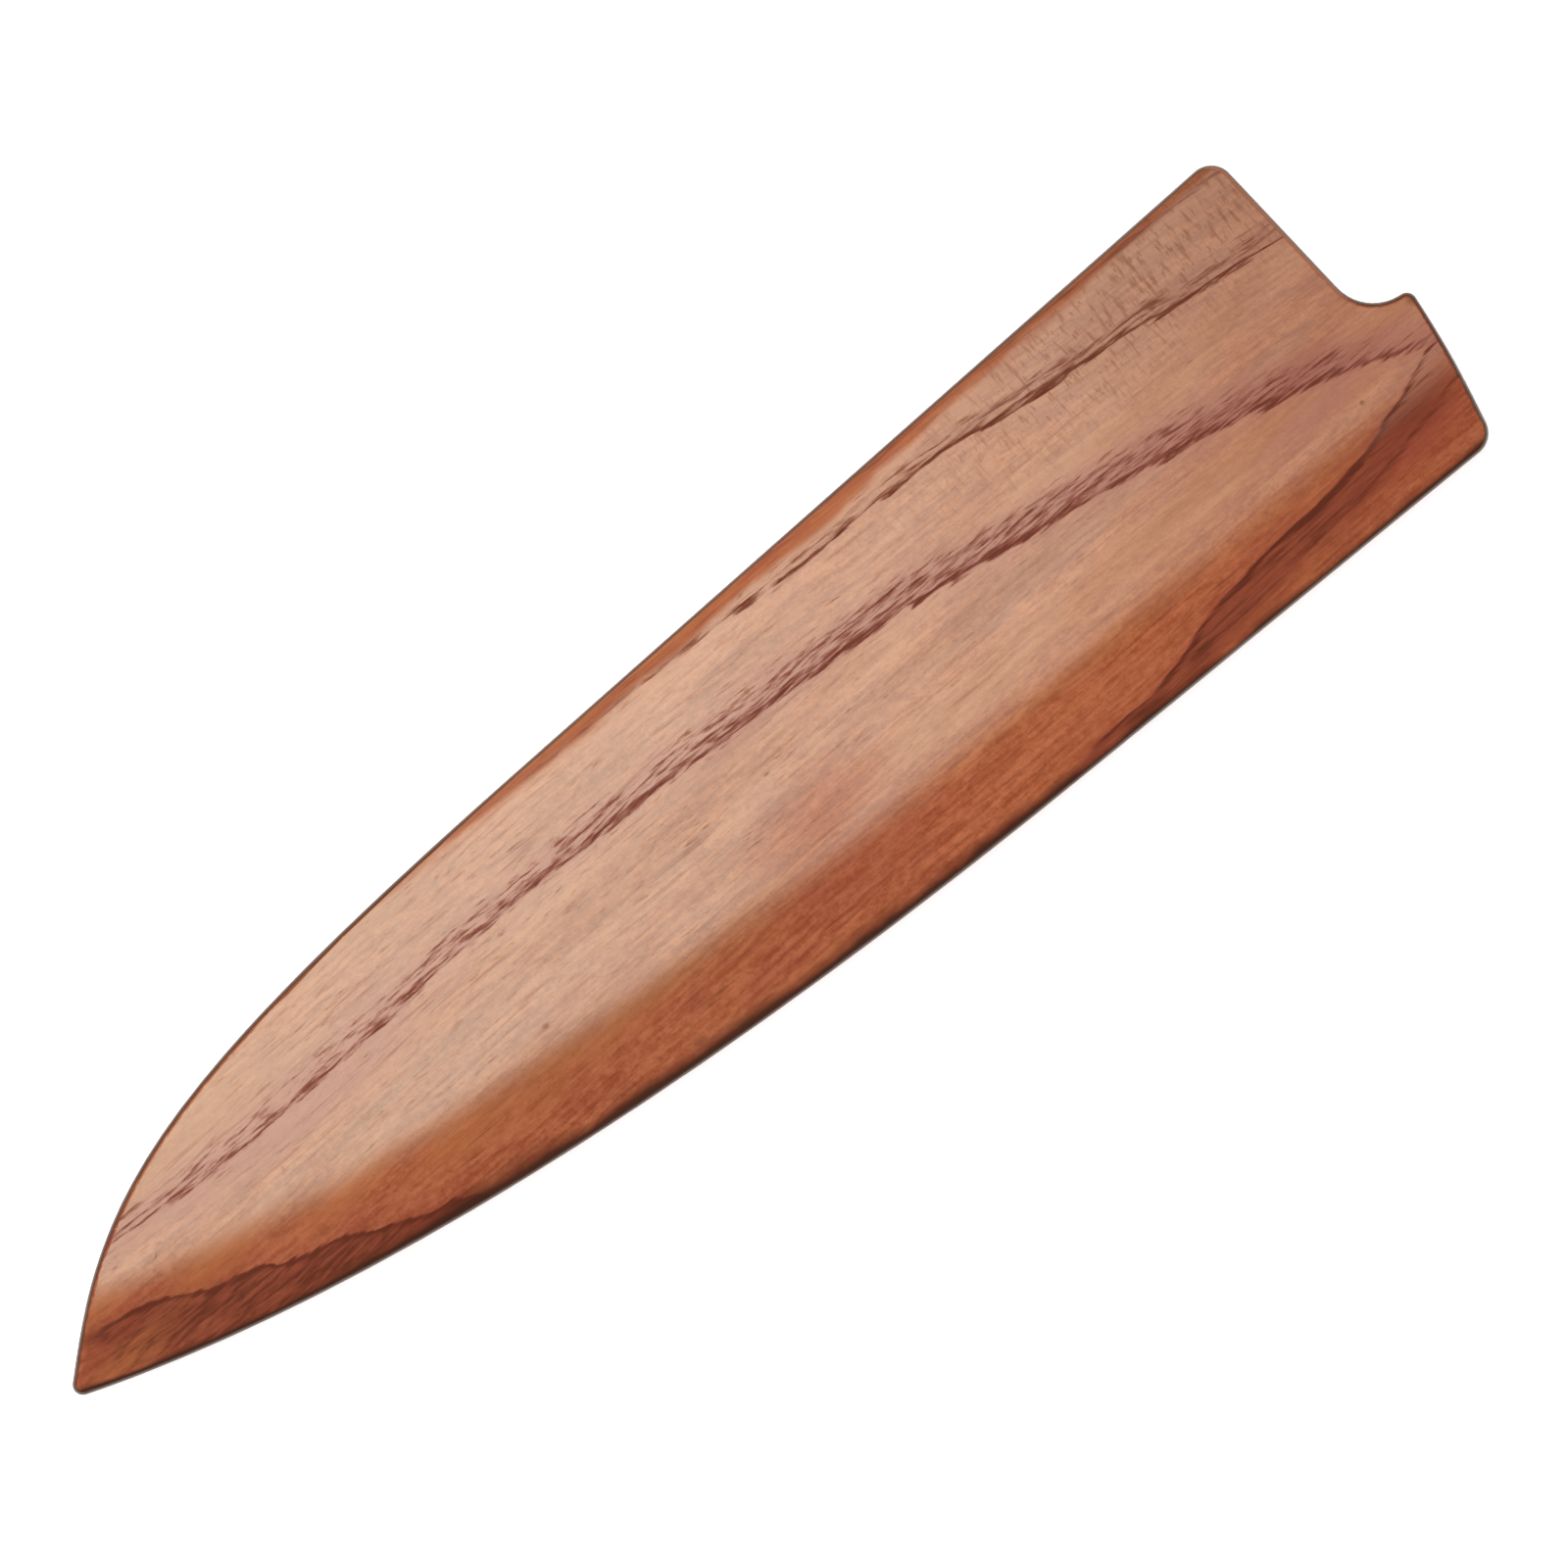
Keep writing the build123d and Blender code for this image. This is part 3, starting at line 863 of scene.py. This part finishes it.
    def darker_walls(self):
        """The walls are darker than the faces, with long dark lines."""
        self.filter(self.wall, self.wood.wall_filter)
        lines = self.shown(self.wall_place(), WALL_LINES)
        self.cover(self.times(lines, self.wall), self.wood.ring)

    def painted_rim_shade(self, mouth):
        """Painted shade on the rims, widest along the belly, and darker end grain at the mouth."""
        # Painted shade on the rounded rims, in the brown shade colour
        rim = self.times(self.ramp(self.facing, RIM_FACING), self.ramp(self.facing, OFF_THE_WALL))
        self.cover(rim, self.wood.shade)
        # Painted shade on the outer arris, which starts nearer the edge at the mouth
        start = self.minus(self.ramp(self.normal_x, ARRIS_START), self.times(mouth, MOUTH_ARRIS))
        arris = self.ramp(self.facing, Ramp(start, self.minus(start, ARRIS_FALL), high=ARRIS_DEPTH))

        # Painted shade along the belly: a brown border and a near-black outline
        from_belly = self.minus(self.edge_across, self.curve(self.edge_along, BELLY_EDGE))
        width = self.times(self.curve(self.edge_along, BELLY_BORDER), self.grain(self.at, BORDER_UNEVEN))
        width = self.times(width, BORDER_WIDTH)
        border = self.math("DIVIDE", self.times(from_belly, guard_width), width)
        self.cover(self.ramp(border, BORDER_BROWN), self.wood.ring)
        # The painted shade of the outline together with the darker end grain, in the glue colour
        rim_shade_and_end_grain = self.most(arris, self.ramp(border, BORDER_DARK), self.ramp(self.normal_x, END_GRAIN))
        rim_shade_and_end_grain = self.times(rim_shade_and_end_grain, self.ramp(self.facing, RIM_SHADE_OFF_THE_WALL))
        self.cover(rim_shade_and_end_grain, self.wood.glue)

    def painted_mouth_sheen(self, mouth):
        """Painted sheen: the rim of the mouth made paler, standing in for the sheen that the rounded rim
        misses.
        """
        mouth_sheen = self.times(self.ramp(self.facing, SHEEN_ABOVE_WALL), self.ramp(self.facing, SHEEN_BELOW_FACE))
        self.cover(self.times(mouth_sheen, self.times(mouth, MOUTH_SHEEN_DEPTH)), self.wood.mouth_sheen)


def panel_wood(name, wood, outer_face, seam, seed, slip, marks=()):
    """Streaked wood for a panel, finished from the plain wood up to the lacquer."""
    panel = PanelWood(name, wood, outer_face, seam, seed, slip)
    panel.plain_panel()
    panel.brown_corner(panel.warm_and_shaded_spine())
    for number, ring in enumerate(RINGS):
        panel.growth_ring(ring, number)
    panel.hairlines()
    if marks:
        panel.front_marks(*marks)
    panel.cover(panel.dark, wood.ring)
    panel.darker_walls()
    mouth = panel.ramp(panel.normal_x, MOUTH_FACING)
    mouth = panel.times(mouth, panel.ramp(panel.edge_across, MOUTH_ACROSS))
    panel.painted_rim_shade(mouth)
    panel.painted_mouth_sheen(mouth)
    panel.glue_lines(seam)
    inside = panel.ramp(panel.facing, INSIDE_FACING)
    panel.bare_inside(inside)
    height = panel.times(panel.grain(panel.at, SANDING_WAVES), wood.waviness, panel.sanded_crown())
    return panel.lacquered(panel.times(panel.wall, HALF_SAWN, inside), height)


def strip_wood(name, wood, seed):
    """Wood of the middle layer: lacquered outside, bare towards the slot, glued at both seams."""
    strip = WoodFinish(name, wood, seed)
    strip.plain(strip.at)
    strip.filter(1.0, wood.strip_filter)
    normal_x, normal_y, _ = strip.add("SeparateXYZ", {0: strip.normal}).outputs
    strip.dark = strip.shown(strip.wall_place(), STRIP_STREAKS)
    sides = strip.most(strip.ramp(normal_x, STRIP_END_GRAIN), strip.ramp(normal_y, STRIP_BELLY_SIDE))
    strip.cover(strip.most(strip.dark, sides), wood.ring)
    strip.glue_lines(back_seam, front_seam)

    from_middle = strip.vector("SUBTRACT", strip.at, slot_middle)
    flat_way = strip.vector("MULTIPLY", from_middle, (1.0, 1.0, 0.0))
    inside = strip.ramp(strip.vector("DOT_PRODUCT", flat_way, strip.normal), SLOT_SIDE)
    strip.bare_inside(inside)
    return strip.lacquered(strip.most(inside, HALF_SAWN), strip.sanded_crown())


def nickel_plating(name, plating):
    """Bright plating with the fine scratches of a tumbled magnet."""
    finish = Finish(name)
    scratches = finish.grain(finish.at, SCRATCHES, plating.scratch_width, plating.scratch_width)
    clouds = finish.shown(finish.at, PLATING_CLOUDS)
    dull = dimmed(plating.colour, DULL_PLATING)
    colour = finish.blend(clouds, opaque(plating.colour), opaque(dull))
    roughness = finish.ramp(scratches, SCRATCHES.shown)
    inputs = {"Height": scratches, "Strength": SCRATCH_RELIEF, "Distance": SCRATCH_DEPTH}
    bump = finish.add("Bump", inputs).outputs[0]
    return finish.surface({"Metallic": 1.0}, Base_Color=colour, Roughness=roughness, Normal=bump)


def dress(node, material):
    """Gives a piece of the frame its finish."""
    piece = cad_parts[node]
    piece.data.materials.clear()
    piece.data.materials.append(material)


class GUARD_OT_panels(Operator):
    """Finish the front and the back panel in streaked, lacquered wood"""

    bl_idname = "guard.panels"
    bl_label = "Finish Panels"

    def execute(self, context):
        wood = context.scene.guard_wood
        front = panel_wood("front_panel_wood", wood, cad_high.z, front_seam, FRONT_SEED, 0.0, FRONT_MARKS)
        back = panel_wood("back_panel_wood", wood, cad_low.z, back_seam, BACK_SEED, BACK_SLIP)
        dress("front_panel", front)
        dress("back_panel", back)
        return {"FINISHED"}


class GUARD_OT_strips(Operator):
    """Finish the strips and the tip block between the panels"""

    bl_idname = "guard.strips"
    bl_label = "Finish Strips"

    def execute(self, context):
        wood = context.scene.guard_wood
        for seed, node in enumerate(("spine_strip", "edge_strip", "tip_block"), start=FIRST_STRIP_SEED):
            dress(node, strip_wood(f"{node}_wood", wood, seed))
        return {"FINISHED"}


class GUARD_OT_magnets(Operator):
    """Finish the disc magnets in both panels"""

    bl_idname = "guard.magnets"
    bl_label = "Finish Magnets"

    def execute(self, context):
        plating = nickel_plating("magnet_plating", context.scene.guard_plating)
        for node in sorted(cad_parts):
            if "magnet" in node:
                dress(node, plating)
        return {"FINISHED"}


def floor_finish(studio):
    """Pale, faintly mottled acrylic, lit a little from below like a photographer's table."""
    finish = Finish("pale_floor")
    dull = dimmed(studio.floor_colour, DULL_FLOOR)
    clouds = finish.grain(finish.at, FLOOR_CLOUDS)
    colour = finish.blend(clouds, opaque(studio.floor_colour), opaque(dull))
    constants = {
        "Roughness": 0.9, "Specular IOR Level": 0.0,
        "Emission Strength": studio.floor_glow, "Emission Color": (1.0, 1.0, 1.0, 1.0),
    }
    return finish.surface(constants, Base_Color=colour)


def make_floor(context, studio):
    """A square floor just under the guard."""
    mesh = bpy.data.meshes.new("floor")
    shape = bmesh.new()
    bmesh.ops.create_grid(shape, x_segments=1, y_segments=1, size=studio.floor_size / 2)
    shape.to_mesh(mesh)
    shape.free()
    mesh.materials.append(floor_finish(studio))
    floor = bpy.data.objects.new("floor", mesh)
    floor.location.z = cad_low.z - FLOOR_GAP
    context.scene.collection.objects.link(floor)


def make_key_light(context, studio):
    """One large soft light that leans to the spine and the tip."""
    way = Vector((-math.tan(studio.key_lean_to_tip), math.tan(studio.key_lean_to_spine), 1)).normalized()
    lamp = bpy.data.lights.new("key", "AREA")
    lamp.shape = "RECTANGLE"
    lamp.size = 2 * studio.key_distance * math.tan(studio.key_spread_along)
    lamp.size_y = 2 * studio.key_distance * math.tan(studio.key_spread_across)
    lamp.energy = studio.key_radiance * math.pi * lamp.size * lamp.size_y
    key = bpy.data.objects.new("key", lamp)
    key.location = way * studio.key_distance
    across = way.cross(Vector((1, 0, 0))).normalized()
    key.rotation_mode = "QUATERNION"
    key.rotation_quaternion = Matrix((across.cross(way), across, way)).transposed().to_quaternion()
    key.visible_camera = False
    context.scene.collection.objects.link(key)


def make_room_light(context, studio):
    """A room that is bright at the walls and dim overhead."""
    room = bpy.data.worlds.new("room")
    room.use_nodes = True
    nodes, links = room.node_tree.nodes, room.node_tree.links
    nodes.clear()
    rise = nodes.new("ShaderNodeSeparateXYZ")
    links.new(nodes.new("ShaderNodeTexCoord").outputs["Generated"], rise.inputs[0])
    fade = nodes.new("ShaderNodeMapRange")
    fade.interpolation_type = "SMOOTHSTEP"
    fade.inputs["From Max"].default_value = WALL_TOP
    fade.inputs["To Min"].default_value = studio.wall_light
    fade.inputs["To Max"].default_value = studio.ceiling_light
    links.new(rise.outputs[2], fade.inputs["Value"])
    light = nodes.new("ShaderNodeBackground")
    links.new(fade.outputs[0], light.inputs["Strength"])
    links.new(light.outputs[0], nodes.new("ShaderNodeOutputWorld").inputs["Surface"])
    context.scene.world = room


def make_camera(context, studio):
    """The camera looks straight down, turned so that the guard lies as in the photograph."""
    camera = bpy.data.cameras.new("camera")
    camera.lens = studio.lens
    distance = studio.view_width * camera.lens / camera.sensor_width
    camera.clip_start = distance / CLIP_REACH
    camera.clip_end = distance * CLIP_REACH
    holder = bpy.data.objects.new("camera", camera)
    holder.location = Vector(studio.view_centre) + Vector((0, 0, distance))
    holder.rotation_euler = (0, 0, -studio.view_turn)
    context.scene.collection.objects.link(holder)
    context.scene.camera = holder


class GUARD_OT_stage(Operator):
    """Set up the pale floor, the soft lights and the camera"""

    bl_idname = "guard.stage"
    bl_label = "Set Up Studio"

    def execute(self, context):
        studio = context.scene.guard_studio
        make_floor(context, studio)
        make_key_light(context, studio)
        make_room_light(context, studio)
        make_camera(context, studio)
        context.scene.view_settings.view_transform = "Standard"
        return {"FINISHED"}


class GUARD_PT_sidebar(Panel):
    """The guard's finishes and its studio, one button each"""

    bl_idname = "GUARD_PT_sidebar"
    bl_label = "Blade Guard"
    bl_space_type = "VIEW_3D"
    bl_region_type = "UI"
    bl_category = "Blade Guard"

    def draw(self, context):
        layout = self.layout
        for step in STEPS:
            layout.operator(step.bl_idname)
        for group in GROUPS:
            settings = getattr(context.scene, group)
            section = layout.box()
            for name in settings.__annotations__:
                section.prop(settings, name)


GROUPS = {"guard_wood": GuardWood, "guard_plating": GuardPlating, "guard_studio": GuardStudio}
STEPS = (GUARD_OT_panels, GUARD_OT_strips, GUARD_OT_magnets, GUARD_OT_stage)
CLASSES = (*GROUPS.values(), *STEPS, GUARD_PT_sidebar)


def register():
    for each in CLASSES:
        bpy.utils.register_class(each)
    for name, group in GROUPS.items():
        setattr(bpy.types.Scene, name, PointerProperty(type=group))


def unregister():
    for name in GROUPS:
        delattr(bpy.types.Scene, name)
    for each in reversed(CLASSES):
        bpy.utils.unregister_class(each)


def main():
    """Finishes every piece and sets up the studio."""
    register()
    bpy.ops.guard.panels()
    bpy.ops.guard.strips()
    bpy.ops.guard.magnets()
    bpy.ops.guard.stage()


if __name__ == "__main__":
    main()
